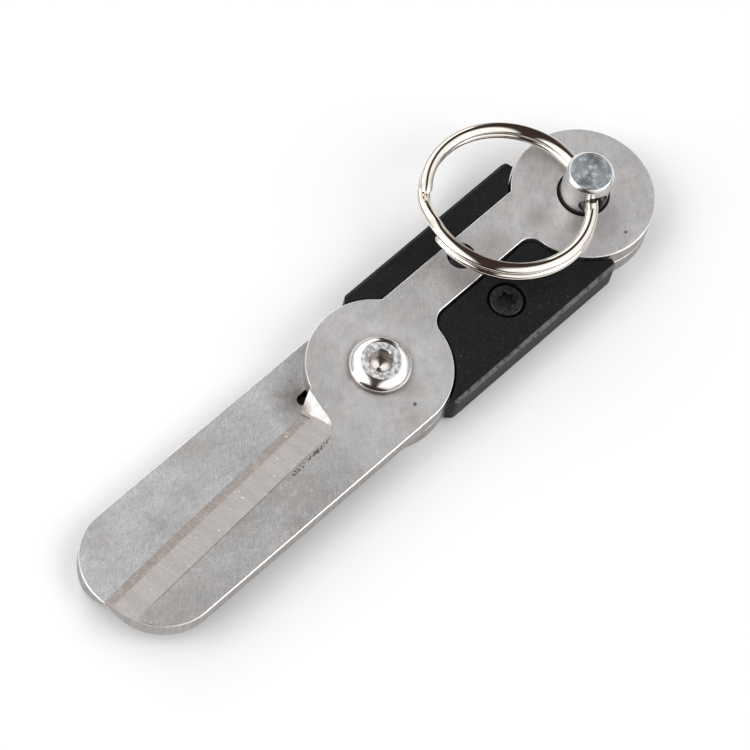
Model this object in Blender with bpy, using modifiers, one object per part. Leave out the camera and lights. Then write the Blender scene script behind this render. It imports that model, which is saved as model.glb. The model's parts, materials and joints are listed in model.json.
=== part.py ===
"""Folding keyring scissors: two flipped twin plates on one pivot screw, with grips, lock pin and split ring.

Frame: +X runs from the pivot to the tail, +Y to the left grip, +Z up through the pivot screw.
The origin is on the pivot axis, level with the lower plate's outer face.
"""
import math

import bmesh
import bpy
from mathutils import Matrix, Vector

MM = 0.001

# Driving sizes, in millimetres
GAP = 0.3                     # clearance between neighbouring pieces
STACK = 5.0                   # both plates together, outer face to outer face
PLATE = (STACK - GAP) / 2     # one plate
PIVOT_DISC = 8.8              # radius of a plate's round eye at the pivot
TAIL_X = 35.0                 # from the pivot to the lock pin
TAIL_DISC = 8.8               # radius of a plate's round tail
NECK_INNER = 0.35             # the neck's edge next to the middle line
NECK_OUTER = 6.0              # the neck's edge under its grip's wall
FRONT_FILLET = 2.3            # neck to pivot eye
TAIL_FILLET = 1.8             # neck to tail

TIP_CENTRE = (-36.8, -1.7)    # rounding of the blade's tip
TIP_RADIUS = 7.1
HEEL_HOLLOW = [(-9.6, 2.8), (-10.4, 2.3)]          # from the pivot eye to the cutting edge
CUTTING_EDGE = [(-11.8, 2.06), (-19.7, 1.92), (-27.6, 1.56), (-35.7, 1.1), (-43.75, 0.4)]
EDGE_HEEL = CUTTING_EDGE[0]
EDGE_MIDDLE = CUTTING_EDGE[2]
EDGE_TIP = CUTTING_EDGE[-1]
BEVEL_HEEL = (-11.9, -2.4)    # upper line of the ground bevel
BEVEL_TIP = (-43.0, -4.1)
BEVEL_DROP = 1.7              # depth of the main bevel
HONED_WIDTH = 0.75            # narrow second bevel along the edge
EDGE_LAND = 0.1               # thickness left at the cutting edge
RUN_OUT_SLOPE = 0.75          # the bevel's end wall: run over depth
RUN_OUT_LINE = [(-8.3, 3.9), (-8.43, 3.16), (-8.7, 1.95), (-8.93, 0.94), (-9.13, -0.1),
                (-9.36, -1.1), (-9.78, -1.82), (-10.3, -2.24), (-10.95, -2.39)]
EYE_ANGLE = 157.0             # where the eye's round outline meets the heel

PIVOT_BORE = 2.3
PIN_BORE = 3.25
GRIP_SCREW = (17.7, 3.8)      # from the pivot, and from the middle line
GRIP_BORE = 1.75
SPRING_POCKET = (4.9, 1.15)   # radius, depth in each plate
SLOT_END = (-8.85, 3.55)      # end of the lower plate's spring slot
SLOT_WIDTH = 1.4

GRIP_OUTER = 9.4              # the grip's outer edge from the middle line
GRIP_TOP = 4.7
GRIP_ARC_GAP = 0.3
GRIP_FRONT_ANGLE = 71.6       # the grip's front corner, seen from the pivot
GRIP_TAIL_ANGLE = 66.0        # the grip's rear corner, seen from the lock pin
GRIP_FRONT_CORNER = 3.95      # where the outer edge's front rounding starts, along X
GRIP_TAIL_CORNER = 30.5
GRIP_CORNER = 0.7             # radius of both roundings
GRIP_CHAMFER = 0.45
RECESS = (2.35, 1.2)          # screw recess: radius, depth

PIVOT_HEAD = (3.8, 2.2, 1.0)  # head radius, flat top radius, height
PIVOT_SIDE = 0.15             # upright side below the head's dome
PIVOT_SHANK = 2.0
PIVOT_HEX = 2.8               # across flats
SCREW_HEAD = (2.05, 0.85)
SCREW_SHANK = 1.45
TORX = (0.95, 0.6)            # lobe circle radius, depth

SPRING_WIRE = 0.8
SPRING_RADIUS = 3.9
SPRING_PITCH = 0.85

PIN_RADIUS = 2.9
PIN_TOP = 10.2
PIN_TIP = 2.45
PIN_RIM = 0.35                # chamfer at both ends
PIN_HOLE = 1.8
PIN_HOLE_Z = 7.05
BALL_RADIUS = 0.75
BALL_Z = 3.75
BALL_OUT = 0.2                # how far the detent ball stands out of the pin
DETENT_COIL = (0.52, 0.12)    # coil radius, wire radius
DETENT_START = -0.95          # the detent spring's inner end, from the pin's axis
DETENT_LENGTH = 2.05
DETENT_TURNS = 4.0

RING_CENTRE = (26.05, 4.6, 7.58)
RING_TILT = (0.08, 0.04)      # slope of the ring's plane along X and Y, falling
RING_RADIUS = 10.06
RING_WIRE = (1.7, 1.0)        # flattened wire: across and high
RING_PITCH = 1.04
RING_JOG = 14.0               # half the angle over which the wire steps up
RING_SPLIT = 152.0            # where the ring's wire steps up

STEEL = (0.62, 0.62, 0.63)
DARK_STEEL = (0.10, 0.10, 0.11)
BRIGHT = (0.78, 0.78, 0.77)
NYLON = (0.018, 0.018, 0.020)


def new_collection(name):
    """Empty collection linked to the scene."""
    collection = bpy.data.collections.new(name)
    bpy.context.scene.collection.children.link(collection)
    return collection


def material(name, colour, roughness, metallic):
    """Principled material in one colour."""
    made = bpy.data.materials.new(name)
    made.use_nodes = True
    shader = made.node_tree.nodes["Principled BSDF"]
    shader.inputs["Base Color"].default_value = (*colour, 1.0)
    shader.inputs["Roughness"].default_value = roughness
    shader.inputs["Metallic"].default_value = metallic
    return made


def arc(centre, radius, start, end, steps):
    """Points on a circle from one angle to another, in degrees."""
    points = []
    for step in range(steps + 1):
        angle = math.radians(start + (end - start) * step / steps)
        points.append((centre[0] + radius * math.cos(angle), centre[1] + radius * math.sin(angle)))
    return points


def baked(obj, name, collection):
    """Plain mesh object with the evaluated shape of obj, which is removed."""
    bpy.context.view_layer.update()
    shape = obj.evaluated_get(bpy.context.evaluated_depsgraph_get())
    mesh = bpy.data.meshes.new_from_object(shape)
    mesh.name = name
    cleaner = bmesh.new()
    cleaner.from_mesh(mesh)
    bmesh.ops.remove_doubles(cleaner, verts=cleaner.verts, dist=1e-6)
    bmesh.ops.recalc_face_normals(cleaner, faces=cleaner.faces)
    cleaner.to_mesh(mesh)
    cleaner.free()
    result = bpy.data.objects.new(name, mesh)
    result.matrix_world = obj.matrix_world.copy()
    collection.objects.link(result)
    bpy.data.objects.remove(obj)
    result.name = name
    return result


def prism(name, outline, low, high, collection):
    """Upright solid on a flat outline, from height low to high."""
    curve = bpy.data.curves.new(name + "_outline", "CURVE")
    curve.dimensions = "2D"
    curve.fill_mode = "BOTH"
    curve.extrude = (high - low) / 2 * MM
    spline = curve.splines.new("POLY")
    spline.points.add(len(outline) - 1)
    for point, (x, y) in zip(spline.points, outline):
        point.co = (x * MM, y * MM, 0.0, 1.0)
    spline.use_cyclic_u = True
    flat = bpy.data.objects.new(name + "_outline", curve)
    flat.location.z = (low + high) / 2 * MM
    collection.objects.link(flat)
    return baked(flat, name, collection)


def poly_curve(name, points, closed):
    """Curve through a list of points in space."""
    curve = bpy.data.curves.new(name, "CURVE")
    curve.dimensions = "3D"
    spline = curve.splines.new("POLY")
    spline.points.add(len(points) - 1)
    for point, place in zip(spline.points, points):
        point.co = (place[0] * MM, place[1] * MM, place[2] * MM, 1.0)
    spline.use_cyclic_u = closed
    return curve


def wire(name, points, width, height, collection):
    """Wire with an oval section along a list of points, with closed ends."""
    oval = [(x * width / 2, y * height / 2, 0.0) for x, y in arc((0, 0), 1.0, 0, 330, 11)]
    section = as_cutter(bpy.data.objects.new(name + "_section", poly_curve(name + "_section", oval, True)))
    curve = poly_curve(name + "_path", points, False)
    curve.bevel_mode = "OBJECT"
    curve.bevel_object = section
    curve.twist_mode = "MINIMUM" if width == height else "Z_UP"
    curve.use_fill_caps = True
    path = bpy.data.objects.new(name + "_path", curve)
    collection.objects.link(path)
    return baked(path, name, collection)


def turned(name, profile, segments, collection):
    """Solid of revolution about Z from (radius, height) pairs that run down the outer side."""
    mesh = bpy.data.meshes.new(name)
    points = [(radius * MM, 0.0, height * MM) for radius, height in profile]
    edges = [(index, index + 1) for index in range(len(points) - 1)]
    mesh.from_pydata(points, edges, [])
    obj = bpy.data.objects.new(name, mesh)
    collection.objects.link(obj)
    screw = obj.modifiers.new("turn", "SCREW")
    screw.axis = "Z"
    screw.steps = segments
    screw.render_steps = segments
    screw.use_merge_vertices = True
    screw.merge_threshold = 1e-6
    screw.use_normal_calculate = True
    return baked(obj, name, collection)


def rod(name, centre, radius, low, high, segments=48, axis=(0, 0, 1)):
    """Cylinder cutter along an axis through centre, from low to high along that axis."""
    shape = bmesh.new()
    bmesh.ops.create_cone(shape, cap_ends=True, segments=segments, radius1=radius * MM,
                          radius2=radius * MM, depth=(high - low) * MM)
    return placed_cutter(name, shape, centre, (low + high) / 2, axis)


def cone(name, centre, radius_low, radius_high, low, high):
    """Upright cone cutter, for a countersunk rim."""
    shape = bmesh.new()
    bmesh.ops.create_cone(shape, cap_ends=True, segments=48, radius1=radius_low * MM,
                          radius2=radius_high * MM, depth=(high - low) * MM)
    return placed_cutter(name, shape, centre, (low + high) / 2, (0, 0, 1))


def placed_cutter(name, shape, centre, middle, axis):
    """Cutter object whose own Z lies along axis, middle millimetres past centre."""
    direction = Vector(axis).normalized()
    turn = Vector((0, 0, 1)).rotation_difference(direction).to_matrix().to_4x4()
    place = Matrix.Translation((Vector(centre) + direction * middle) * MM)
    mesh = bpy.data.meshes.new(name)
    shape.to_mesh(mesh)
    shape.free()
    mesh.transform(place @ turn)
    return as_cutter(bpy.data.objects.new(name, mesh))


def as_cutter(obj):
    """Put an object among the cutters, hidden from renders."""
    for owner in list(obj.users_collection):
        owner.objects.unlink(obj)
    cutters.objects.link(obj)
    obj.hide_render = True
    obj.display_type = "WIRE"
    return obj


def cut(obj, cutter):
    """Subtract a cutter with an exact Boolean."""
    boolean = obj.modifiers.new("cut " + cutter.name, "BOOLEAN")
    boolean.operation = "DIFFERENCE"
    boolean.solver = "EXACT"
    boolean.object = cutter


def finish(obj, look, smooth_angle=30.0):
    """Give a piece its material and smooth shading between its sharp edges."""
    obj.data.materials.clear()
    obj.data.materials.append(look)
    obj.data.shade_smooth()
    obj.data.set_sharp_from_angle(angle=math.radians(smooth_angle))


def flipped(obj, name, look):
    """Second copy of a piece, turned half round about the middle line between the plates."""
    mesh = obj.data.copy()
    mesh.name = name
    twin = bpy.data.objects.new(name, mesh)
    turn = Matrix.Translation((0.0, 0.0, STACK * MM)) @ Matrix.Rotation(math.pi, 4, "X")
    twin.matrix_world = turn @ obj.matrix_world
    parts.objects.link(twin)
    mesh.materials.clear()
    mesh.materials.append(look)
    return twin


def fillet_centre(disc_x, disc_radius, edge_y, radius, side):
    """Centre of the hollow rounding between a disc and the straight edge above it."""
    y = edge_y - radius
    x = disc_x + side * math.sqrt((disc_radius + radius) ** 2 - y ** 2)
    return (x, y)


def bevel_height(x, y):
    """Height of the ground bevel's plane above a point of the upper plate."""
    along = Vector((BEVEL_TIP[0] - BEVEL_HEEL[0], BEVEL_TIP[1] - BEVEL_HEEL[1]))
    across = Vector((-along.y, along.x)).normalized()
    if across.y < 0:
        across.negate()
    width = (Vector(EDGE_MIDDLE) - Vector((0, HONED_WIDTH)) - Vector(BEVEL_HEEL)).dot(across)
    distance = (Vector((x, y)) - Vector(BEVEL_HEEL)).dot(across)
    return STACK - BEVEL_DROP * distance / width


def plate_outline():
    """Outline of the upper plate, from the blade's back round the tail to its cutting edge."""
    front = fillet_centre(0.0, PIVOT_DISC, NECK_INNER, FRONT_FILLET, 1)
    tail = fillet_centre(TAIL_X, TAIL_DISC, NECK_INNER, TAIL_FILLET, -1)
    front_angle = math.degrees(math.atan2(front[1], front[0]))
    tail_angle = math.degrees(math.atan2(tail[1], tail[0] - TAIL_X)) % 360
    neck_tail = 180 - math.degrees(math.asin(NECK_OUTER / TAIL_DISC))
    neck_front = math.degrees(math.asin(NECK_OUTER / PIVOT_DISC))
    outline = arc((0, 0), PIVOT_DISC, -90, front_angle, 14)
    outline += arc(front, FRONT_FILLET, front_angle + 180, 90, 5)
    outline += arc(tail, TAIL_FILLET, 90, tail_angle - 180, 5)
    outline += arc((TAIL_X, 0), TAIL_DISC, tail_angle, 360 + neck_tail, 50)
    outline += arc((0, 0), PIVOT_DISC, neck_front, EYE_ANGLE, 18)
    outline += HEEL_HOLLOW + CUTTING_EDGE
    outline += arc(TIP_CENTRE, TIP_RADIUS, 174, 270, 16)
    return outline


def bevel_cutter():
    """Everything above the ground bevel, ending in the sloping wall beside the pivot eye."""
    beyond_tip = BEVEL_TIP[0] - 4.0
    slope = (BEVEL_TIP[1] - BEVEL_HEEL[1]) / (BEVEL_TIP[0] - BEVEL_HEEL[0])
    outline = list(RUN_OUT_LINE)
    outline.append((beyond_tip, BEVEL_HEEL[1] + slope * (beyond_tip - BEVEL_HEEL[0])))
    outline.append((beyond_tip, RUN_OUT_LINE[0][1]))
    shape = bmesh.new()
    upper = []
    lower = []
    head_room = 1.0
    for index, (x, y) in enumerate(outline):
        depth = max(STACK - bevel_height(x, y), 0.0)
        run = RUN_OUT_SLOPE if index < len(RUN_OUT_LINE) else 0.0
        foot = x - run * depth
        upper.append(shape.verts.new((Vector((x + run * head_room, y, STACK + head_room))) * MM))
        lower.append(shape.verts.new((Vector((foot, y, bevel_height(foot, y)))) * MM))
    shape.faces.new(upper)
    shape.faces.new(list(reversed(lower)))
    count = len(outline)
    for index in range(count):
        following = (index + 1) % count
        shape.faces.new((upper[following], upper[index], lower[index], lower[following]))
    bmesh.ops.triangulate(shape, faces=shape.faces)
    bmesh.ops.recalc_face_normals(shape, faces=shape.faces)
    mesh = bpy.data.meshes.new("bevel_cutter")
    shape.to_mesh(mesh)
    shape.free()
    return as_cutter(bpy.data.objects.new("bevel_cutter", mesh))


def honing_cutter():
    """Wedge above the narrow second bevel along the cutting edge."""
    start = Vector(EDGE_HEEL)
    end = Vector(EDGE_TIP)
    along = (end - start).normalized()
    across = Vector((along.y, -along.x))
    if across.y < 0:
        across.negate()
    low = STACK - PLATE + EDGE_LAND
    high = bevel_height(EDGE_MIDDLE[0], EDGE_MIDDLE[1] - HONED_WIDTH)
    reach = 3.0
    slope = (high - low) / HONED_WIDTH
    overlap = 0.02
    corners = ((-HONED_WIDTH - overlap, high + overlap * slope),
               (reach, low - slope * reach),
               (reach, high + reach))
    shape = bmesh.new()
    rings = []
    for place in (start - along * 0.9, end + along * reach):
        ring = []
        for offset, height in corners:
            point = place + across * offset
            ring.append(shape.verts.new((Vector((point.x, point.y, height))) * MM))
        rings.append(ring)
    shape.faces.new(rings[0])
    shape.faces.new(list(reversed(rings[1])))
    for index in range(3):
        following = (index + 1) % 3
        shape.faces.new((rings[0][index], rings[0][following], rings[1][following], rings[1][index]))
    bmesh.ops.recalc_face_normals(shape, faces=shape.faces)
    mesh = bpy.data.meshes.new("honing_cutter")
    shape.to_mesh(mesh)
    shape.free()
    return as_cutter(bpy.data.objects.new("honing_cutter", mesh))


def spring_tangent():
    """Angle, in degrees, where the lower leg of the opening spring leaves its coil."""
    reach = math.hypot(*SLOT_END)
    end_angle = math.degrees(math.atan2(SLOT_END[1], SLOT_END[0]))
    return end_angle - math.degrees(math.acos(SPRING_RADIUS / reach))


def slot_outline():
    """Slot for the upper leg of the spring, along the tangent from the coil to its round end."""
    angle = -spring_tangent()
    start = Vector((math.cos(math.radians(angle)), math.sin(math.radians(angle)))) * SPRING_RADIUS
    end = Vector((SLOT_END[0], -SLOT_END[1]))
    heading = math.degrees(math.atan2(end.y - start.y, end.x - start.x))
    half = SLOT_WIDTH / 2
    outline = arc(end, half, heading - 90, heading + 90, 8)
    outline += arc(start, half, heading + 90, heading + 270, 1)
    return outline


def make_plates():
    """Twin blade plates: the lower one is the upper one flipped."""
    plate = prism("upper_blade_plate", plate_outline(), STACK - PLATE, STACK, parts)
    cut(plate, bevel_cutter())
    cut(plate, honing_cutter())
    inner = STACK - PLATE
    cut(plate, rod("pivot_bore_cutter", (0, 0, 0), PIVOT_BORE, inner - 1, STACK + 1))
    cut(plate, rod("pin_bore_cutter", (TAIL_X, 0, 0), PIN_BORE, inner - 1, STACK + 1))
    cut(plate, rod("grip_bore_cutter", (*GRIP_SCREW, 0), GRIP_BORE, inner - 1, STACK + 1))
    rim = (GRIP_BORE - 0.3, GRIP_BORE + 0.7, STACK - 0.6, STACK + 0.4)
    cut(plate, cone("grip_rim_cutter", (*GRIP_SCREW, 0), *rim))
    cut(plate, rod("pocket_cutter", (0, 0, 0), SPRING_POCKET[0], inner - 1, inner + SPRING_POCKET[1]))
    slot = prism("slot_cutter", slot_outline(), inner - 1, inner + SPRING_POCKET[1], cutters)
    cut(plate, as_cutter(slot))
    plate = baked(plate, "upper_blade_plate", parts)
    finish(plate, material("upper_blade_steel", STEEL, 0.32, 1.0))
    flipped(plate, "lower_blade_plate", material("lower_blade_steel", STEEL, 0.34, 1.0))


def grip_outline():
    """Outline of the right grip, a clearance away from the upper plate."""
    front = fillet_centre(0.0, PIVOT_DISC, NECK_INNER, FRONT_FILLET, 1)
    tail = fillet_centre(TAIL_X, TAIL_DISC, NECK_INNER, TAIL_FILLET, -1)
    front_angle = math.degrees(math.atan2(front[1], front[0]))
    tail_angle = math.degrees(math.atan2(tail[1], tail[0] - TAIL_X)) % 360
    outline = arc((TAIL_X, 0), TAIL_DISC + GRIP_ARC_GAP, 180 + GRIP_TAIL_ANGLE, tail_angle, 10)
    outline += arc(tail, TAIL_FILLET - GRIP_ARC_GAP, tail_angle - 180, 90, 6)
    outline += arc(front, FRONT_FILLET - GRIP_ARC_GAP, 90, 180 + front_angle, 6)
    outline += arc((0, 0), PIVOT_DISC + GRIP_ARC_GAP, front_angle, -GRIP_FRONT_ANGLE, 12)
    outline += arc((GRIP_FRONT_CORNER, GRIP_CORNER - GRIP_OUTER), GRIP_CORNER, 220, 270, 3)
    outline += arc((GRIP_TAIL_CORNER, GRIP_CORNER - GRIP_OUTER), GRIP_CORNER, 270, 350, 4)
    outline.reverse()
    return outline


def edge_cutter(name, height):
    """Long square bar turned on its edge, for the chamfer along the grip's outer edge."""
    shape = bmesh.new()
    bmesh.ops.create_cube(shape, size=1.0)
    side = GRIP_CHAMFER * math.sqrt(2) * MM
    scale = Matrix.Diagonal((60 * MM, side, side, 1.0))
    turn = Matrix.Rotation(math.radians(45), 4, "X")
    place = Matrix.Translation(Vector((TAIL_X / 2, -GRIP_OUTER, height)) * MM)
    mesh = bpy.data.meshes.new(name)
    shape.to_mesh(mesh)
    shape.free()
    mesh.transform(place @ turn @ scale)
    return as_cutter(bpy.data.objects.new(name, mesh))


def make_grips():
    """Black grips: a layer over the other plate's neck, and a wall down its outer edge."""
    grip = prism("right_grip", grip_outline(), STACK - GRIP_TOP, GRIP_TOP, parts)
    neck_room = [(-2, -NECK_OUTER - GAP), (TAIL_X + 5, -NECK_OUTER - GAP), (TAIL_X + 5, 2), (-2, 2)]
    room = prism("neck_room_cutter", neck_room, -1, PLATE + GAP, cutters)
    cut(grip, as_cutter(room))
    place = (GRIP_SCREW[0], -GRIP_SCREW[1], 0)
    cut(grip, rod("recess_cutter", place, RECESS[0], GRIP_TOP - RECESS[1], GRIP_TOP + 1))
    cut(grip, rod("shank_room_cutter", place, GRIP_BORE, 0, GRIP_TOP))
    cut(grip, edge_cutter("upper_edge_cutter", GRIP_TOP))
    cut(grip, edge_cutter("lower_edge_cutter", STACK - GRIP_TOP))
    grip = baked(grip, "right_grip", parts)
    finish(grip, material("right_grip_nylon", NYLON, 0.62, 0.0))
    flipped(grip, "left_grip", material("left_grip_nylon", NYLON, 0.62, 0.0))


def make_pivot_screw():
    """Button head screw: the hinge pin, threaded into the lower plate, its end level with that plate."""
    radius, flat, height = PIVOT_HEAD
    base = STACK + GAP
    side = base + PIVOT_SIDE
    lowest = math.radians(10)
    profile = [(0, base + height), (flat, base + height)]
    for step in range(1, 7):
        angle = math.radians(90 - 80 * step / 6)
        outwards = math.cos(angle) / math.cos(lowest)
        upwards = (math.sin(angle) - math.sin(lowest)) / (1 - math.sin(lowest))
        profile.append((flat + (radius - flat) * outwards, side + (height - PIVOT_SIDE) * upwards))
    profile += [(radius, base), (PIVOT_SHANK, base), (PIVOT_SHANK, 0.3), (PIVOT_SHANK - 0.3, 0), (0, 0)]
    screw = turned("pivot_screw", profile, 48, parts)
    corner = PIVOT_HEX / 2 / math.cos(math.radians(30))
    cut(screw, rod("hex_cutter", (0, 0, 0), corner, base + height - 1.1, base + height + 1, 6))
    screw = baked(screw, "pivot_screw", parts)
    finish(screw, material("pivot_steel", BRIGHT, 0.16, 1.0))


def torx_outline(centre):
    """Six-lobed socket outline around a centre."""
    points = []
    for step in range(48):
        angle = 2 * math.pi * step / 48
        radius = TORX[0] * (1.0 + 0.14 * math.cos(6 * angle))
        points.append((centre[0] + radius * math.cos(angle), centre[1] + radius * math.sin(angle)))
    return points


def make_grip_screws():
    """Black cap screws that hold each grip down on the neck of its plate."""
    radius, height = SCREW_HEAD
    base = GRIP_TOP - RECESS[1] + 0.25
    top = base + height
    profile = [(0, top), (radius - 0.25, top), (radius, top - 0.25), (radius, base), (SCREW_SHANK, base),
               (SCREW_SHANK, 0.45), (SCREW_SHANK - 0.25, 0.2), (0, 0.2)]
    screw = turned("right_grip_screw", profile, 32, parts)
    place = (GRIP_SCREW[0], -GRIP_SCREW[1])
    screw.data.transform(Matrix.Translation((place[0] * MM, place[1] * MM, 0)))
    socket = prism("torx_cutter", torx_outline(place), top - TORX[1], top + 1, cutters)
    cut(screw, as_cutter(socket))
    screw = baked(screw, "right_grip_screw", parts)
    finish(screw, material("right_screw_black", DARK_STEEL, 0.38, 0.8))
    flipped(screw, "left_grip_screw", material("left_screw_black", DARK_STEEL, 0.38, 0.8))


def make_opening_spring():
    """Torsion spring round the pivot, with one leg in each plate, that pushes the blades apart."""
    start = spring_tangent()
    sweep = -(2 * start + 360)
    rise = SPRING_PITCH * abs(sweep) / 360
    low = STACK / 2 - rise / 2
    points = [(SLOT_END[0], SLOT_END[1], low)]
    steps = 44
    for step in range(steps + 1):
        angle = math.radians(start + sweep * step / steps)
        height = low + rise * step / steps
        points.append((SPRING_RADIUS * math.cos(angle), SPRING_RADIUS * math.sin(angle), height))
    points.append((SLOT_END[0], -SLOT_END[1], low + rise))
    spring = wire("opening_spring", points, SPRING_WIRE, SPRING_WIRE, parts)
    finish(spring, material("spring_steel", STEEL, 0.3, 1.0))


def make_lock_pin():
    """Turned pin that slides in the tails' bores and carries the ring in a cross-hole."""
    profile = [(0, PIN_TOP), (PIN_RADIUS - PIN_RIM, PIN_TOP), (PIN_RADIUS, PIN_TOP - PIN_RIM),
               (PIN_RADIUS, PIN_TIP + PIN_RIM), (PIN_RADIUS - PIN_RIM, PIN_TIP), (0, PIN_TIP)]
    pin = turned("lock_pin", profile, 48, parts)
    pin.data.transform(Matrix.Translation((TAIL_X * MM, 0, 0)))
    cut(pin, rod("cross_hole_cutter", (TAIL_X, 0, PIN_HOLE_Z), PIN_HOLE, -5, 5, 40, ring_axis()))
    detent = (TAIL_X, 0, BALL_Z)
    cut(pin, rod("detent_hole_cutter", detent, BALL_RADIUS + 0.12, -1.2, 5, 24, (1, 0, 0)))
    pin = baked(pin, "lock_pin", parts)
    finish(pin, material("pin_steel", BRIGHT, 0.28, 1.0))


def make_detent():
    """Ball and coil spring in the pin's side hole, which hold the pin in its bores by friction."""
    shape = bmesh.new()
    bmesh.ops.create_uvsphere(shape, u_segments=20, v_segments=12, radius=BALL_RADIUS * MM)
    mesh = bpy.data.meshes.new("detent_ball")
    shape.to_mesh(mesh)
    shape.free()
    centre = Vector((TAIL_X + PIN_RADIUS - BALL_RADIUS + BALL_OUT, 0, BALL_Z))
    mesh.transform(Matrix.Translation(centre * MM))
    ball = bpy.data.objects.new("detent_ball", mesh)
    parts.objects.link(ball)
    finish(ball, material("ball_steel", BRIGHT, 0.12, 1.0))

    coil_radius, wire_radius = DETENT_COIL
    points = []
    steps = 48
    for step in range(steps + 1):
        angle = 2 * math.pi * DETENT_TURNS * step / steps
        points.append((TAIL_X + DETENT_START + DETENT_LENGTH * step / steps,
                       coil_radius * math.cos(angle), BALL_Z + coil_radius * math.sin(angle)))
    coil = wire("detent_spring", points, 2 * wire_radius, 2 * wire_radius, parts)
    finish(coil, material("detent_steel", STEEL, 0.3, 1.0))


def ring_axis():
    """Level direction of the pin's cross-hole: square to the line from the pin to the ring's centre."""
    away = Vector((TAIL_X - RING_CENTRE[0], -RING_CENTRE[1], 0)).normalized()
    return Vector((0, 0, 1)).cross(away)


def make_key_ring():
    """Split ring: two turns of one wire that steps from the lower turn to the upper one."""
    normal = Vector((RING_TILT[0], RING_TILT[1], 1.0)).normalized()
    turn = Vector((0, 0, 1)).rotation_difference(normal).to_matrix()
    centre = Vector(RING_CENTRE)
    first = RING_JOG + 2.0
    sweep = 720 - 2 * first
    steps = 118
    points = []
    for step in range(steps + 1):
        along = first + sweep * step / steps
        climb = min(max((along - 360 + RING_JOG) / (2 * RING_JOG), 0.0), 1.0)
        height = RING_PITCH * (climb * climb * (3 - 2 * climb) - 0.5)
        angle = math.radians(along + RING_SPLIT)
        place = Vector((RING_RADIUS * math.cos(angle), RING_RADIUS * math.sin(angle), height))
        points.append(centre + turn @ place)
    ring = wire("key_ring", points, RING_WIRE[0], RING_WIRE[1], parts)
    finish(ring, material("ring_nickel", BRIGHT, 0.08, 1.0))


def on_joint(name, place, children, parent=None):
    """Empty on a joint's axis that carries the pieces of one moving body."""
    pivot = bpy.data.objects.new(name, None)
    parts.objects.link(pivot)
    pivot.location = Vector(place) * MM
    bpy.context.view_layer.update()
    for child in children:
        child_object = bpy.data.objects[child]
        child_object.parent = pivot
        child_object.matrix_parent_inverse = pivot.matrix_world.inverted()
    if parent:
        pivot.parent = parent
        pivot.matrix_parent_inverse = parent.matrix_world.inverted()
    return pivot


for leftover in list(bpy.data.objects):
    bpy.data.objects.remove(leftover)
parts = new_collection("keyring_scissors")
cutters = new_collection("cutters")

make_plates()
make_grips()
make_pivot_screw()
make_grip_screws()
make_opening_spring()
make_lock_pin()
make_detent()
make_key_ring()

upper_half = on_joint("blade_pivot", (0, 0, 0), ("upper_blade_plate", "left_grip", "left_grip_screw"))
pin_slide = on_joint("pin_slide", (TAIL_X, 0, 0), ("lock_pin", "detent_ball", "detent_spring"), upper_half)
on_joint("ring_swing", (TAIL_X, 0, PIN_HOLE_Z), ("key_ring",), pin_slide)
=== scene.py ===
"""Looks for the folding keyring scissors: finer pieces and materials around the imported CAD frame."""
import json
import math

import bmesh
import bpy
from mathutils import Matrix, Vector


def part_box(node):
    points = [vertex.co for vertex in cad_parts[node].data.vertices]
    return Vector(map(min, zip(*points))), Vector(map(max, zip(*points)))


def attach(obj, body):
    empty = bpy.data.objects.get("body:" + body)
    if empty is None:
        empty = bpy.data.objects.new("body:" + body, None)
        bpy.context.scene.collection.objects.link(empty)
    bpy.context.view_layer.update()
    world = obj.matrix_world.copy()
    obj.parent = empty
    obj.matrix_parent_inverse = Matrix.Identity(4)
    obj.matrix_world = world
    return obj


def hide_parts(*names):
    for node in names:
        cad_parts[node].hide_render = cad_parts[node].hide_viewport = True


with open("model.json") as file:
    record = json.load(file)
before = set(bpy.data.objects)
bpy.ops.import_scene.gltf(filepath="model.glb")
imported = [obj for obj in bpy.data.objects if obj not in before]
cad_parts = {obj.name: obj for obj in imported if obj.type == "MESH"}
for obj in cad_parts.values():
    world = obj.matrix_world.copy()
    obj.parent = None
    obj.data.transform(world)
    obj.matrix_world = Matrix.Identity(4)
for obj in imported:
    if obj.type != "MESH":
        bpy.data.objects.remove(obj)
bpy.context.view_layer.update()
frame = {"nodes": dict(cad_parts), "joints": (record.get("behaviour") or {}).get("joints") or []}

MM = 0.001

# Sizes read from the frame, in millimetres
PIN_LOW, PIN_HIGH = [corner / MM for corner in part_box("lock_pin")]
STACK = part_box("upper_blade_plate")[1].z / MM
TAIL_X = (PIN_LOW.x + PIN_HIGH.x) / 2
PIN_RADIUS = (PIN_HIGH.x - PIN_LOW.x) / 2
PIVOT_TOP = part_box("pivot_screw")[1].z / MM
PIVOT_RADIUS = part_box("pivot_screw")[1].x / MM
GRIP_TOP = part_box("right_grip")[1].z / MM
GRIP_OUTER = -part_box("right_grip")[0].y / MM
SCREW_LOW, SCREW_HIGH = [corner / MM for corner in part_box("right_grip_screw")]
GRIP_SCREW = ((SCREW_LOW.x + SCREW_HIGH.x) / 2, -(SCREW_LOW.y + SCREW_HIGH.y) / 2)
RING_AXIS_Z = frame["joints"][2]["pos_m"][2] / MM
BALL_LOW, BALL_HIGH = [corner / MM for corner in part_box("detent_ball")]

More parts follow.
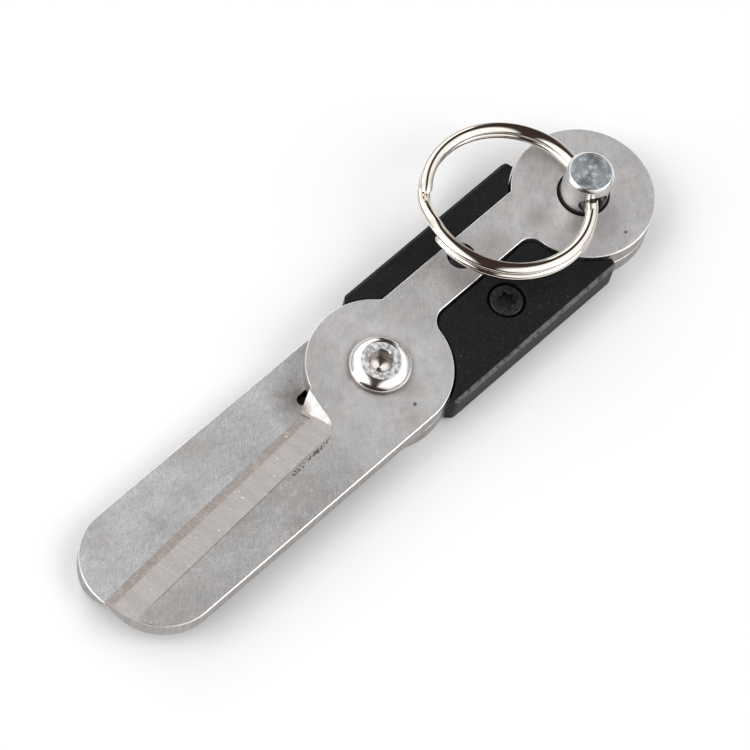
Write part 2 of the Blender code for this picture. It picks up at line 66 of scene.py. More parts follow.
# Blade plate: X runs from the tip to the tail, with the pivot at the origin
SEAM = 0.06                   # gap between the two plates
PLATE = (STACK - SEAM) / 2
EDGE_ROUND = 0.13             # worn rounding of the plates' edges
DISC = 8.8                    # radius of the pivot eye and of the tail
NECK_INNER = 0.35
NECK_OUTER = 6.0
FRONT_FILLET = 2.3
TAIL_FILLET = 1.8
EYE_ANGLE = 157.0             # where the eye's edge ends, in degrees
EYE_TO_HEEL = ((-9.6, 2.8), (-10.4, 2.3))
EDGE_HEEL = (-11.8, 2.06)     # the cutting edge, from heel to tip
EDGE_SECOND = (-19.7, 1.92)
EDGE_MIDDLE = (-27.6, 1.56)
EDGE_FOURTH = (-35.7, 1.1)
EDGE_TIP = (-43.75, 0.4)
TIP_CENTRE = (-36.8, -1.7)
TIP_RADIUS = 7.1
BLADE_START = -8.0            # the blade's faces lie beyond this
BLADE_BACK = -6.0
BEVEL_HEEL = (-11.9, -2.4)    # the ground bevel's upper edge
BEVEL_TIP = (-43.0, -4.1)
BEVEL_DROP = 1.7
BEVEL_OVERRUN = 4.0
HONED_WIDTH = 1.25
HONED_OVERRUN = (1.5, 3.0)    # how far the honing cutter passes the heel and the tip
HONED_OVERLAP = 0.02
EDGE_LAND = 0.06              # thickness left at the cutting edge
RUN_OUT = ((-8.3, 3.9), (-8.43, 3.16), (-8.7, 1.95), (-8.93, 0.94), (-9.13, -0.1), (-9.24, -0.65),
           (-9.40, -1.2), (-9.62, -1.63), (-9.92, -1.98), (-10.3, -2.24), (-10.7, -2.37))
RUN_OUT_SLOPE = 0.6
RUN_OUT_END = -12.3
PIVOT_BORE = 2.15
PIN_BORE = 3.25
GRIP_BORE = 1.75
SPRING_POCKET = (4.9, 1.2)    # radius and depth
POCKET_REACH = 9.7            # the pocket and its slot lie within this distance of the pivot
SLOT_END = (-8.85, 3.55)
SLOT_WIDTH = 1.4

# Kinds of face on a plate, in the order of its material slots
FLAT, BEVEL, HONED, WALL, SIDE, RIM, POCKET = range(7)

# Grips and their screws
GRIP_GAP = 0.22               # from the upper plate's edge
GRIP_ROUND = 0.22
GRIP_CHAMFER = 0.42
GRIP_FRONT_ANGLE = 71.6
GRIP_TAIL_ANGLE = 66.0
GRIP_FRONT_CORNER = 3.95      # X of the outer corners' centres
GRIP_TAIL_CORNER = 30.5
GRIP_CORNER = 0.7             # their radius
GRIP_FLOOR = 0.08             # from the lower plate's inner face
RECESS = (2.35, 1.2)          # round the screw's head: radius and depth
CAP_ROUND = 0.28
CAP_SHANK = 1.5
TORX = (0.95, 0.62)           # radius and depth
TORX_WAVE = 0.15

# Pivot screw
PIVOT_FLAT = 2.2              # radius of the flat on its head
PIVOT_SKIRT = 0.12            # upright foot of its dome
PIVOT_DOME = (86.0, 8.0)      # from the flat down to the foot, in degrees
PIVOT_SHANK = 2.0
PIVOT_HEX = 2.8               # across flats
HEX_DEPTH = 1.15
DRILL_DEPTH = 1.75            # tip of the drilled cone under the hexagon
SOCKET_TURN = 14.6            # the hexagon's corners, in degrees

# Lock pin, ring and spring
PIN_RIM = 0.34
PIN_ROUND = 0.09
PIN_HOLE = 1.8
DETENT_START = -1.2
RING_WIRE = (1.56, 1.0)       # flattened wire: across and high
RING_DRIFT = 0.1              # how much wider the lower turn is
RING_TILT = (0.08, 0.04)
RING_RADIUS = 10.06
RING_CENTRE = (26.05, 4.6, 7.58)
RING_JOG = 14.0               # half the angle over which the wire steps up a turn
RING_END = 2.0                # from the jog to each end of the wire, in degrees
RING_SPLIT = 152.0
SPRING_WIRE = 0.8
SPRING_RADIUS = 3.9
SPRING_PITCH = 0.85
SPRING_LEG_SHORT = 1.3        # how far the spring's lower leg stops before its slot's end
SPRING_UPPER_LEG = 1.2        # upper leg, kept inside the pocket so that the blades can open

SPRING_TONES = ((0.55, 0.55, 0.56), (0.38, 0.38, 0.39))

# Marks on the plates: centre, radius, strength and colour
BROWN = (0.19, 0.145, 0.12)
PALE = (0.70, 0.69, 0.685)
UPPER_MARKS = (
    ((0, 0, STACK), 19.0, 0.75, PALE),
    ((33, 1, STACK), 21.0, 0.95, PALE),
    ((28.2, 1.4, STACK), 2.6, 0.5, BROWN),
    ((22.0, 2.6, STACK), 3.2, 0.4, BROWN),
    ((15.5, 0.6, STACK), 4.5, 0.3, BROWN),
    ((34.5, -3.5, STACK), 4.5, 0.3, (0.25, 0.235, 0.23)),
    ((31.0, -2.6, STACK), 1.8, 0.35, BROWN),
    ((0.6, -4.6, STACK), 2.4, 0.35, BROWN),
    ((35.0, -7.1, STACK), 0.32, 1.6, (0.16, 0.03, 0.02)),
    ((-0.5, -6.25, STACK), 0.4, 1.6, (0.09, 0.085, 0.08)))
# painted shade on the lower plate, beside the upper plate's edge at the spring slot's end
LOWER_SHADE_MARKS = (((SLOT_END[0] - 0.7, SLOT_END[1] + 0.7, PLATE), 4.2, 0.75, (0.17, 0.13, 0.11)),)
HEEL_MARK = (-10.5, 2.7, 3.4)
HEEL_MARK_RADIUS = 1.9
GRIME_AND_SHADE_RING = 1.1                # width of the dark ring round the pivot screw's head: grime and painted contact shadow
PITS_CENTRE = (BEVEL_HEEL[0] - 2.6, BEVEL_HEEL[1] - 0.4, STACK)
PITS_RADIUS = 4.6
PITS_BAND = (0.18, 0.30, 0.60, 0.75)     # distances from the bevel: pits grow, are full, and end
CREASE_SHADE = (-0.06, 0.0, 0.04, 0.16)        # the same for the painted shade line along the bevel
FACING_PITCH = (0.34, 0.13)   # coarse and fine rings on the pin's turned end

# Stage
CAMERA_AZIMUTH = -60.3
CAMERA_ELEVATION = 62.2
CAMERA_ROLL = 16.8
CAMERA_DISTANCE = 486.0       # millimetres from the pivot along the view
LENS = 200.4
AIM_SHIFT = (-0.58, -1.09)    # picture centre, right of and above the pivot
# Sky: height, from the horizon to overhead, and colour
SKY = ((0.0, (0.36, 0.35, 0.34)), (0.22, (0.50, 0.49, 0.48)), (0.5, (1.05, 1.05, 1.06)),
       (1.0, (1.35, 1.35, 1.36)))
SKY_DARK = (0.05, 0.033, 0.028)
DARK_AZIMUTH = -60.0          # side of the studio that stays unlit
DARK_SIDE = (0.62, 0.86)      # where it starts and where it is full: cosine of the angle to its middle
STRIP = (0.10, 0.26)          # dark gap overhead: sine of its half width, full and faded
# Softboxes: name, azimuth, elevation, distance and size in metres, power in watts
SOFTBOXES = (
    ("left", -117, 42, 0.9, (0.6, 0.6), 3.4),
    ("right", 33, 40, 0.9, (0.5, 0.6), 2.3),
    ("far", 158, 27, 1.0, (0.9, 0.25), 0.8),
    ("low", -119, 9, 0.9, (0.5, 0.2), 0.55))


# ---- Shapes ----

def arc(centre, radius, start, end, step=3.0):
    """Points on a circle between two angles in degrees, about one step apart."""
    count = max(int(abs(end - start) / step + 0.5), 1)
    points = []
    for index in range(count + 1):
        angle = math.radians(start + (end - start) * index / count)
        points.append((centre[0] + radius * math.cos(angle), centre[1] + radius * math.sin(angle)))
    return points


def linked(name, data):
    """New object in the scene's collection."""
    obj = bpy.data.objects.new(name, data)
    bpy.context.scene.collection.objects.link(obj)
    return obj


def meshed(shape, name):
    """Mesh made from a bmesh, which is freed."""
    mesh = bpy.data.meshes.new(name)
    shape.to_mesh(mesh)
    shape.free()
    return mesh


def baked(obj, name):
    """Mesh object with obj's evaluated shape in world space; obj and its Boolean cutters are removed."""
    bpy.context.view_layer.update()
    mesh = bpy.data.meshes.new_from_object(obj.evaluated_get(bpy.context.evaluated_depsgraph_get()))
    mesh.transform(obj.matrix_world)
    mesh.materials.clear()
    cleaner = bmesh.new()
    cleaner.from_mesh(mesh)
    bmesh.ops.remove_doubles(cleaner, verts=cleaner.verts, dist=1e-6)
    bmesh.ops.recalc_face_normals(cleaner, faces=cleaner.faces)
    cleaner.to_mesh(mesh)
    cleaner.free()
    for modifier in obj.modifiers:
        if modifier.type == "BOOLEAN":
            bpy.data.objects.remove(modifier.object)
    bpy.data.objects.remove(obj)
    return linked(name, mesh)


def poly_curve(name, points, closed=False, dimensions="3D"):
    """Curve through points in space."""
    curve = bpy.data.curves.new(name, "CURVE")
    curve.dimensions = dimensions
    spline = curve.splines.new("POLY")
    spline.points.add(len(points) - 1)
    for point, place in zip(spline.points, points):
        point.co = (*Vector(place) * MM, 1.0)
    spline.use_cyclic_u = closed
    return curve


def prism(name, outline, low, high, edge=0.0):
    """Upright solid on a flat outline; edge rounds its rims."""
    curve = poly_curve(name, [(x, y, 0) for x, y in outline], True, "2D")
    curve.fill_mode = "BOTH"
    curve.extrude = ((high - low) / 2 - edge) * MM
    curve.bevel_depth = edge * MM
    curve.bevel_resolution = 2
    curve.offset = -edge * MM
    flat = linked(name, curve)
    flat.location.z = (low + high) / 2 * MM
    return baked(flat, name)


def wire(name, points, width, height, tapers=()):
    """Wire with an oval section; tapers are the size shares of the points at each end."""
    oval = [(x * width / 2, y * height / 2, 0) for x, y in arc((0, 0), 1.0, 0, 345, 15)]
    section = linked("section", poly_curve("section", oval, True))
    curve = poly_curve(name, points)
    curve.bevel_mode = "OBJECT"
    curve.bevel_object = section
    curve.twist_mode = "MINIMUM" if width == height else "Z_UP"
    curve.use_fill_caps = True
    for index, share in enumerate(tapers):
        curve.splines[0].points[index].radius = share
        curve.splines[0].points[len(points) - 1 - index].radius = share
    made = baked(linked(name, curve), name)
    bpy.data.objects.remove(section)
    return made


def turned(name, profile, segments=96, centre=(0.0, 0.0)):
    """Solid of revolution about an upright axis; the (radius, height) profile runs down its outer side."""
    mesh = bpy.data.meshes.new(name)
    points = [(radius * MM, 0.0, height * MM) for radius, height in profile]
    mesh.from_pydata(points, [(index, index + 1) for index in range(len(points) - 1)], [])
    obj = linked(name, mesh)
    screw = obj.modifiers.new("turn", "SCREW")
    screw.steps = segments
    screw.render_steps = segments
    screw.use_merge_vertices = True
    screw.merge_threshold = 1e-6
    screw.use_normal_calculate = True
    obj.location = (centre[0] * MM, centre[1] * MM, 0.0)
    return baked(obj, name)


def rounded_profile(profile, radius, steps=4):
    """Profile with each inner corner replaced by a small round."""
    result = [profile[0]]
    for before, corner, after in zip(profile, profile[1:], profile[2:]):
        corner = Vector(corner)
        back = Vector(before) - corner
        on = Vector(after) - corner
        reach = min(radius, back.length / 2.2, on.length / 2.2)
        start = corner + back.normalized() * reach
        end = corner + on.normalized() * reach
        for step in range(steps + 1):
            share = step / steps
            point = start * (1 - share) ** 2 + corner * 2 * share * (1 - share) + end * share ** 2
            result.append(tuple(point))
    result.append(profile[-1])
    return result


def rod(centre, radius, low, high, segments=72, axis=(0, 0, 1), far_radius=None):
    """Cylinder or cone cutter along an axis through centre."""
    shape = bmesh.new()
    far_radius = radius if far_radius is None else far_radius
    bmesh.ops.create_cone(shape, cap_ends=True, segments=segments, radius1=radius * MM,
                          radius2=far_radius * MM, depth=(high - low) * MM)
    direction = Vector(axis).normalized()
    turn = Vector((0, 0, 1)).rotation_difference(direction).to_matrix().to_4x4()
    place = Matrix.Translation((Vector(centre) + direction * (low + high) / 2) * MM)
    mesh = meshed(shape, "cutter")
    mesh.transform(place @ turn)
    return linked("cutter", mesh)


def cut(obj, cutter):
    """Subtract a cutter with an exact Boolean."""
    boolean = obj.modifiers.new("cut", "BOOLEAN")
    boolean.operation = "DIFFERENCE"
    boolean.solver = "EXACT"
    boolean.object = cutter


def paint(obj, *looks):
    """Fill a piece's material slots in order."""
    for look in looks:
        obj.data.materials.append(look)


def shade(obj, angle=32.0, flats=()):
    """Smooth shading between sharp edges; edges between two flat kinds of face are sharp too."""
    obj.data.shade_smooth()
    obj.data.set_sharp_from_angle(angle=math.radians(angle))
    kinds = {}
    for face in obj.data.polygons:
        for key in face.edge_keys:
            kinds.setdefault(key, set()).add(face.material_index)
    for edge in obj.data.edges:
        kind = kinds[edge.key]
        if len(kind) == 2 and kind <= set(flats):
            edge.use_edge_sharp = True
    weighted = obj.modifiers.new("normals", "WEIGHTED_NORMAL")
    weighted.keep_sharp = True
    weighted.weight = 90


def flipped(obj, name):
    """Copy of a piece, turned half round about the line midway between the plates."""
    mesh = obj.data.copy()
    mesh.transform(Matrix.Translation((0.0, 0.0, STACK * MM)) @ Matrix.Rotation(math.pi, 4, "X"))
    return linked(name, mesh)


def fillet_centre(disc_x, radius, side):
    """Centre of the hollow rounding between a round end and the neck's inner edge."""
    y = NECK_INNER - radius
    return (disc_x + side * math.sqrt((DISC + radius) ** 2 - y ** 2), y)


def fillets():
    """Both hollow roundings of the neck: their centres, and the angles where they leave the round ends."""
    front = fillet_centre(0.0, FRONT_FILLET, 1)
    tail = fillet_centre(TAIL_X, TAIL_FILLET, -1)
    front_angle = math.degrees(math.atan2(front[1], front[0]))
    tail_angle = math.degrees(math.atan2(tail[1], tail[0] - TAIL_X)) % 360
    return front, tail, front_angle, tail_angle


def across_edge(start, end):
    """Unit vector square to a line in plan, pointing to +Y."""
    along = Vector((end[0] - start[0], end[1] - start[1]))
    across = Vector((-along.y, along.x)).normalized()
    return across if across.y > 0 else -across


def direction_to(azimuth, elevation):
    """Unit vector towards a place in the studio; azimuth 0 is on the -Y side."""
    a = math.radians(azimuth)
    e = math.radians(elevation)
    return Vector((math.sin(a) * math.cos(e), -math.cos(a) * math.cos(e), math.sin(e)))


def bevel_height(x, y):
    """Height of the ground bevel's plane above a point of the upper plate."""
    across = across_edge(BEVEL_HEEL, BEVEL_TIP)
    width = (Vector(EDGE_MIDDLE) - Vector((0, HONED_WIDTH)) - Vector(BEVEL_HEEL)).dot(across)
    return STACK - BEVEL_DROP * (Vector((x, y)) - Vector(BEVEL_HEEL)).dot(across) / width


def joined_cutter(name, rings):
    """Cutter skinned between two rings with as many points each."""
    shape = bmesh.new()
    upper, lower = [[shape.verts.new(Vector(point) * MM) for point in ring] for ring in rings]
    shape.faces.new(upper)
    shape.faces.new(list(reversed(lower)))
    for index in range(len(upper)):
        following = (index + 1) % len(upper)
        shape.faces.new((upper[following], upper[index], lower[index], lower[following]))
    bmesh.ops.triangulate(shape, faces=shape.faces)
    bmesh.ops.recalc_face_normals(shape, faces=shape.faces)
    return linked(name, meshed(shape, name))


# ---- Materials ----

class Nodes:
    """Node tree with a few shorthands, working on one kind of coordinates."""

    def __init__(self, tree, coordinates):
        self.tree = tree
        self.coordinates = tree.nodes.new("ShaderNodeTexCoord").outputs[coordinates]

    def link(self, output, target):
        """Join two sockets."""
        self.tree.links.new(output, target)

    def mapped(self, scale, turn=0.0, shift=(0, 0, 0)):
        """Object coordinates, turned about Z in degrees, then scaled per metre."""
        turned_node = self.tree.nodes.new("ShaderNodeMapping")
        turned_node.inputs["Rotation"].default_value = (0, 0, math.radians(turn))
        turned_node.inputs["Location"].default_value = shift
        self.link(self.coordinates, turned_node.inputs["Vector"])
        scaled = self.tree.nodes.new("ShaderNodeMapping")
        scaled.inputs["Scale"].default_value = scale
        self.link(turned_node.outputs["Vector"], scaled.inputs["Vector"])
        return scaled.outputs["Vector"]

    def noise(self, scale, turn=0.0, detail=3.0, shift=(0, 0, 0), rough=0.5):
        """Noise value, stretched by unequal scales per metre."""
        node = self.tree.nodes.new("ShaderNodeTexNoise")
        node.inputs["Scale"].default_value = 1.0
        node.inputs["Detail"].default_value = detail
        node.inputs["Roughness"].default_value = rough
        self.link(self.mapped(scale, turn, shift), node.inputs["Vector"])
        return node.outputs["Fac"]

    def ramp(self, value, low, high, start=0.0, end=1.0):
        """Value taken from low..high to start..end, clamped and smooth."""
        node = self.tree.nodes.new("ShaderNodeMapRange")
        node.interpolation_type = "SMOOTHSTEP"
        node.inputs["From Min"].default_value = low
        node.inputs["From Max"].default_value = high
        node.inputs["To Min"].default_value = start
        node.inputs["To Max"].default_value = end
        self.link(value, node.inputs["Value"])
        return node.outputs["Result"]

    def math(self, operation, first, second=0.0):
        """One maths step on values or numbers."""
        node = self.tree.nodes.new("ShaderNodeMath")
        node.operation = operation
        for slot, value in zip(node.inputs, (first, second)):
            if isinstance(value, (int, float)):
                slot.default_value = value
            else:
                self.link(value, slot)
        return node.outputs["Value"]

    def mix(self, factor, first, second):
        """Colour mix; first and second are colours or outputs."""
        node = self.tree.nodes.new("ShaderNodeMix")
        node.data_type = "RGBA"
        self.link(factor, node.inputs["Factor"])
        for slot, value in ((node.inputs[6], first), (node.inputs[7], second)):
            if isinstance(value, tuple):
                slot.default_value = (*value, 1.0)
            else:
                self.link(value, slot)
        return node.outputs[2]

    def times(self, *values):
        """Product of two or more values."""
        product = values[0]
        for value in values[1:]:
            product = self.math("MULTIPLY", product, value)
        return product

    def vector(self, operation, first, second=(0, 0, 0)):
        """One vector step on an output and a constant; the node itself."""
        node = self.tree.nodes.new("ShaderNodeVectorMath")
        node.operation = operation
        self.link(first, node.inputs[0])
        node.inputs[1].default_value = second
        return node

    def along(self, axis):
        """Distance of a point along an axis."""
        return self.vector("DOT_PRODUCT", self.coordinates, axis).outputs["Value"]

    def spot(self, centre, radius):
        """1 at a point in millimetres, falling to 0 at a radius."""
        distance = self.vector("DISTANCE", self.coordinates, Vector(centre) * MM).outputs["Value"]
        return self.ramp(distance, 0.0, radius * MM, 1.0, 0.0)

    def band(self, value, limits):
        """1 where a length is between the inner two of four limits in millimetres, 0 beyond the outer two."""
        first, second, third, fourth = [limit * MM for limit in limits]
        return self.times(self.ramp(value, first, second), self.ramp(value, third, fourth, 1.0, 0.0))


class Look(Nodes):
    """Principled material on object coordinates."""

    def __init__(self, name, metallic):
        self.material = bpy.data.materials.new(name)
        self.material.use_nodes = True
        super().__init__(self.material.node_tree, "Object")
        self.shader = self.tree.nodes["Principled BSDF"]
        self.shader.inputs["Metallic"].default_value = metallic

    def finished(self, colour, roughness, height, distance, strength):
        """The material, with a colour, a roughness and a bump of a height in millimetres."""
        node = self.tree.nodes.new("ShaderNodeBump")
        node.inputs["Strength"].default_value = strength
        node.inputs["Distance"].default_value = distance * MM
        self.link(height, node.inputs["Height"])
        self.link(node.outputs["Normal"], self.shader.inputs["Normal"])
        self.link(colour, self.shader.inputs["Base Color"])
        self.link(roughness, self.shader.inputs["Roughness"])
        return self.material


def scaled(colour, factor):
    """Colour, lighter or darker."""
    return tuple(part * factor for part in colour)


def scratched(look, base, shift):
    """Fine pale scratches in three directions: the new base and the scratches."""
    scratches = None
    for turn, thin, limit in ((38, 6200, 0.735), (-52, 5300, 0.75), (12, 7100, 0.76)):
        lines = look.noise((thin, 260, 260), turn=turn, detail=1, shift=(shift[0], turn * 0.01, 0))
        line = look.ramp(lines, limit, limit + 0.06, 0.0, 1.0)
        base = look.mix(look.times(line, 0.5), base, (0.80, 0.80, 0.80))
        scratches = line if scratches is None else look.math("MAXIMUM", scratches, line)
    return base, scratches


def grime_and_shade_ringed(look, base):
    """Dark ring round the pivot screw's head: grime, and painted contact shadow at the head's foot."""
    away = look.math("SUBTRACT", 1.0, look.spot((0, 0, STACK), 2 * PIVOT_RADIUS + GRIME_AND_SHADE_RING))
    return look.mix(look.ramp(away, 0.53, 0.40, 0.0, 0.7), base, (0.15, 0.12, 0.105))


def bevel_pits_and_shade(look, base):
    """Brown pits beside the bevel's heel, and a thin line of painted shade along the bevel."""
    heel, tip = Vector(BEVEL_HEEL), Vector(BEVEL_TIP)
    normal = across_edge(heel, tip)
    inside = look.math("SUBTRACT", normal.dot(heel) * MM, look.along((normal.x, normal.y, 0)))
    near = look.math("MINIMUM", look.times(look.spot(PITS_CENTRE, PITS_RADIUS), 2.5), 1.0)
    cells = look.ramp(look.noise((4300, 4300, 4300), detail=2), 0.47, 0.54)
    holes = look.times(near, look.band(inside, PITS_BAND), cells, 1.3)
    base = look.mix(holes, base, (0.15, 0.12, 0.09))
    reach = look.spot((*(heel + tip) / 2, STACK), (heel - tip).length / 2)
    beside = look.math("MINIMUM", look.times(reach, 9.0), 1.0)
    # painted shade along the bevel's upper edge
    return look.mix(look.times(look.band(inside, CREASE_SHADE), beside, 0.6), base, (0.12, 0.11, 0.10))


def tumbled_steel(name, shift, tones, marks, bevelled):
    """Satin plate steel: cloudy, faintly cross-grained, scratched and stained, some marks being painted shade;
    grime and painted contact shadow round the pivot screw; wear and a painted shade line beside the bevel too.
    """
    look = Look(name, metallic=1.0)
    clouds = look.noise((160, 160, 160), detail=4, shift=shift)
    speckle = look.noise((3600, 3600, 3600), detail=2, shift=shift)
    grain = look.noise((5600, 1050, 900), turn=47, detail=4, shift=shift, rough=0.7)
    base = look.mix(look.ramp(clouds, 0.3, 0.7), *tones)
    base = look.mix(look.ramp(speckle, 0.42, 0.72, 0.0, 0.45), base, scaled(tones[0], 0.66))
    base = look.mix(look.ramp(grain, 0.50, 0.70, 0.0, 0.5), base, scaled(tones[1], 1.38))
    base = look.mix(look.ramp(grain, 0.46, 0.30, 0.0, 0.36), base, scaled(tones[0], 0.62))
    stain = look.noise((240, 240, 240), detail=4, shift=(shift[0] + 3, shift[1], 0))
    base = look.mix(look.ramp(stain, 0.5, 0.75, 0.0, 0.42), base, (0.40, 0.345, 0.30))
    mottle = look.noise((1100, 1900, 1100), turn=20, detail=4, shift=shift, rough=0.65)
    base = look.mix(look.ramp(mottle, 0.5, 0.8, 0.0, 0.4), base, (0.72, 0.71, 0.70))
    base = look.mix(look.ramp(mottle, 0.5, 0.25, 0.0, 0.35), base, (0.27, 0.26, 0.255))
    base, scratches = scratched(look, base, shift)
    pits = look.ramp(look.noise((5200, 5200, 5200), detail=1, shift=(0, shift[0], 0)), 0.71, 0.77)
    base = look.mix(look.times(pits, 0.6), base, (0.17, 0.155, 0.145))
    if bevelled:
        # grime and painted contact shadow round the pivot screw's head
        base = grime_and_shade_ringed(look, base)
    smear = look.noise((700, 1100, 700), turn=-35, detail=4, rough=0.6)
    # stains, and on the lower plate a patch of painted shade
    for centre, radius, strength, colour in marks:
        patch = look.ramp(smear, 0.2, 0.7, 0.35 * strength, strength)
        base = look.mix(look.times(look.spot(centre, radius), patch), base, colour)
    if bevelled:
        base = bevel_pits_and_shade(look, base)
    rough = look.ramp(clouds, 0.3, 0.7, 0.51, 0.56)
    rough = look.math("ADD", rough, look.ramp(speckle, 0.3, 0.7, -0.03, 0.04))
    height = look.math("ADD", look.times(speckle, 0.5), look.times(grain, 0.5))
    height = look.math("SUBTRACT", height, look.times(scratches, 0.6))
    return look.finished(base, rough, height, 0.006, 0.5)


def ground_steel(name, light, dark, shift=(0, 0, 0), roughness=(0.27, 0.40), blotched=0.12):
    """Freshly ground steel with fine lines square to the cutting edge."""
    look = Look(name, metallic=1.0)
    lines = look.noise((9500, 260, 500), turn=2.5, detail=4, shift=shift, rough=0.7)
    broad = look.noise((900, 90, 200), turn=2.5, detail=2, shift=shift)
    base = look.mix(look.ramp(lines, 0.22, 0.78), dark, light)
    base = look.mix(look.ramp(broad, 0.35, 0.7, 0.0, 0.35), base, dark)
    flecks = look.ramp(look.noise((3800, 1500, 1500), detail=1, shift=shift), 0.73, 0.77)
    base = look.mix(look.times(flecks, 0.75), base, (0.86, 0.85, 0.84))
    blotches = look.noise((2600, 1500, 1500), detail=4, shift=shift, rough=0.75)
    base = look.mix(look.ramp(blotches, 0.52, 0.66, 0.0, blotched), base, scaled(light, 1.5))
    base = look.mix(look.ramp(blotches, 0.46, 0.32, 0.0, blotched), base, scaled(dark, 0.6))
    return look.finished(base, look.ramp(lines, 0.3, 0.7, *roughness), lines, 0.006, 0.6)


def run_out_steel(name):
    """Bright wall at the bevel's end, browner beside the cutting edge's heel."""
    look = Look(name, metallic=1.0)
    haze = look.noise((1500, 1500, 1500), detail=3)
    base = look.mix(look.ramp(haze, 0.4, 0.7), (0.95, 0.94, 0.93), (0.80, 0.77, 0.75))
    near = look.times(look.spot(HEEL_MARK, HEEL_MARK_RADIUS), 1.7)
    base = look.mix(near, base, (0.42, 0.34, 0.31))
    return look.finished(base, look.ramp(haze, 0.3, 0.7, 0.26, 0.34), haze, 0.004, 0.5)


def sheared_steel(name):
    """Punched side wall: torn upright streaks, warm grey."""
    look = Look(name, metallic=1.0)
    tears = look.noise((2600, 2600, 240), detail=4, rough=0.7)
    base = look.mix(look.ramp(tears, 0.35, 0.7), (0.36, 0.335, 0.315), (0.52, 0.50, 0.48))
    blotches = look.ramp(look.noise((700, 700, 1500), detail=3), 0.55, 0.75)
    base = look.mix(look.times(blotches, 0.5), base, (0.25, 0.215, 0.19))
    return look.finished(base, look.ramp(tears, 0.3, 0.7, 0.34, 0.55), tears, 0.02, 0.6)


def polished(name, colour, roughness, wear=0.03):
    """Plated metal with faint haze and hairline wear."""
    look = Look(name, metallic=1.0)
    haze = look.noise((900, 900, 900), detail=3)
    base = look.mix(look.ramp(haze, 0.35, 0.7), colour, scaled(colour, 0.93))
    hair = look.noise((7000, 900, 900), turn=30, detail=2)
    rough = look.ramp(haze, 0.35, 0.7, roughness, roughness + wear)
    rough = look.math("ADD", rough, look.ramp(hair, 0.62, 0.75, 0.0, wear * 2))
    return look.finished(base, rough, haze, 0.002, 0.3)


def cast_metal(name, colour, roughness, grain):
    """Bright but grainy metal, as on the flat of a headed screw."""
    look = Look(name, metallic=1.0)
    grains = look.noise((grain, grain, grain), detail=3, rough=0.6)
    base = look.mix(look.ramp(grains, 0.38, 0.62), scaled(colour, 0.62), colour)
    rough = look.ramp(grains, 0.35, 0.65, roughness - 0.06, roughness + 0.08)
    return look.finished(base, rough, grains, 0.02, 0.8)


def lathe_turned(name, centre, light, dark):
    """Faced end of a turned pin: fine rings about its axis, nicked near the middle."""
    look = Look(name, metallic=1.0)
    away = look.vector("SUBTRACT", look.coordinates, (centre[0] * MM, centre[1] * MM, 0))
    flat = look.vector("MULTIPLY", away.outputs["Vector"], (1, 1, 0))
    length = look.vector("LENGTH", flat.outputs["Vector"]).outputs["Value"]
    wobble = look.times(look.noise((900, 900, 900), detail=2), 0.3 * MM)
    radius = look.math("ADD", length, wobble)
    coarse, fine = [look.math("SINE", look.times(radius, 2 * math.pi / (pitch * MM)))
                    for pitch in FACING_PITCH]
    rings = look.math("ADD", look.times(coarse, 0.6), look.times(fine, 0.4))
    cloud = look.noise((1300, 1300, 1300), detail=3)
    base = look.mix(look.ramp(rings, -1.5, 1.5), dark, light)
    base = look.mix(look.ramp(cloud, 0.5, 0.7, 0.0, 0.6), base, scaled(light, 1.45))
    nicks = look.ramp(look.noise((2300, 1100, 1100), turn=35, detail=2), 0.56, 0.64, 0.0, 0.8)
    worn = look.ramp(length, 0.3 * MM, 1.3 * MM, 1.0, 0.1)
    base = look.mix(look.times(nicks, worn), base, (0.86, 0.88, 0.89))
    return look.finished(base, look.ramp(cloud, 0.3, 0.7, 0.30, 0.46), rings, 0.012, 0.7)


def brushed_round(name, light, dark, roughness):
    """Turned side of a pin: faint hoops and streaks."""
    look = Look(name, metallic=1.0)
    hoops = look.noise((300, 300, 5200), detail=3, rough=0.7)
    base = look.mix(look.ramp(hoops, 0.35, 0.7), dark, light)
    rough = look.ramp(hoops, 0.3, 0.7, roughness - 0.05, roughness + 0.09)
    return look.finished(base, rough, hoops, 0.004, 0.5)


def moulded_nylon(name, shift):
    """Black glass-filled nylon: fine pebble, paler rubbed specks."""
    look = Look(name, metallic=0.0)
    pebble = look.noise((5200, 5200, 5200), detail=3, shift=shift, rough=0.6)
    cloud = look.noise((500, 500, 500), detail=3, shift=shift)
    base = look.mix(look.ramp(pebble, 0.4, 0.75), (0.0035, 0.0035, 0.0042), (0.012, 0.012, 0.014))
    specks = look.ramp(look.noise((6500, 6500, 6500), detail=1, shift=(shift[1], 0, 0)), 0.72, 0.78)
    base = look.mix(look.times(specks, 0.5), base, (0.16, 0.16, 0.17))
    rough = look.ramp(cloud, 0.3, 0.7, 0.46, 0.60)
    rough = look.math("ADD", rough, look.ramp(pebble, 0.3, 0.7, -0.05, 0.05))
    look.shader.inputs["Specular IOR Level"].default_value = 0.19
    return look.finished(base, rough, pebble, 0.02, 0.75)


def rubbed_and_highlit_nylon(name):
    """Edge of the grip, polished and greyed where handling has rubbed it, and painted lighter as a highlight.
    """
    look = Look(name, metallic=0.0)
    patches = look.noise((1700, 1700, 1700), detail=4, rough=0.7)
    pebble = look.noise((5200, 5200, 5200), detail=3)
    base = look.mix(look.ramp(patches, 0.34, 0.56), (0.012, 0.012, 0.013), (0.11, 0.11, 0.115))
    return look.finished(base, look.ramp(patches, 0.3, 0.7, 0.5, 0.34), pebble, 0.02, 0.7)


def scuffed_nylon(name):
    """Side wall of the grip: the same nylon, dusty and a little brown."""
    look = Look(name, metallic=0.0)
    streaks = look.noise((500, 2400, 2400), detail=4, rough=0.6)
    base = look.mix(look.ramp(streaks, 0.35, 0.7), (0.006, 0.0054, 0.0052), (0.017, 0.015, 0.0138))
    look.shader.inputs["Specular IOR Level"].default_value = 0.3
    return look.finished(base, look.ramp(streaks, 0.3, 0.7, 0.5, 0.62), streaks, 0.02, 0.5)


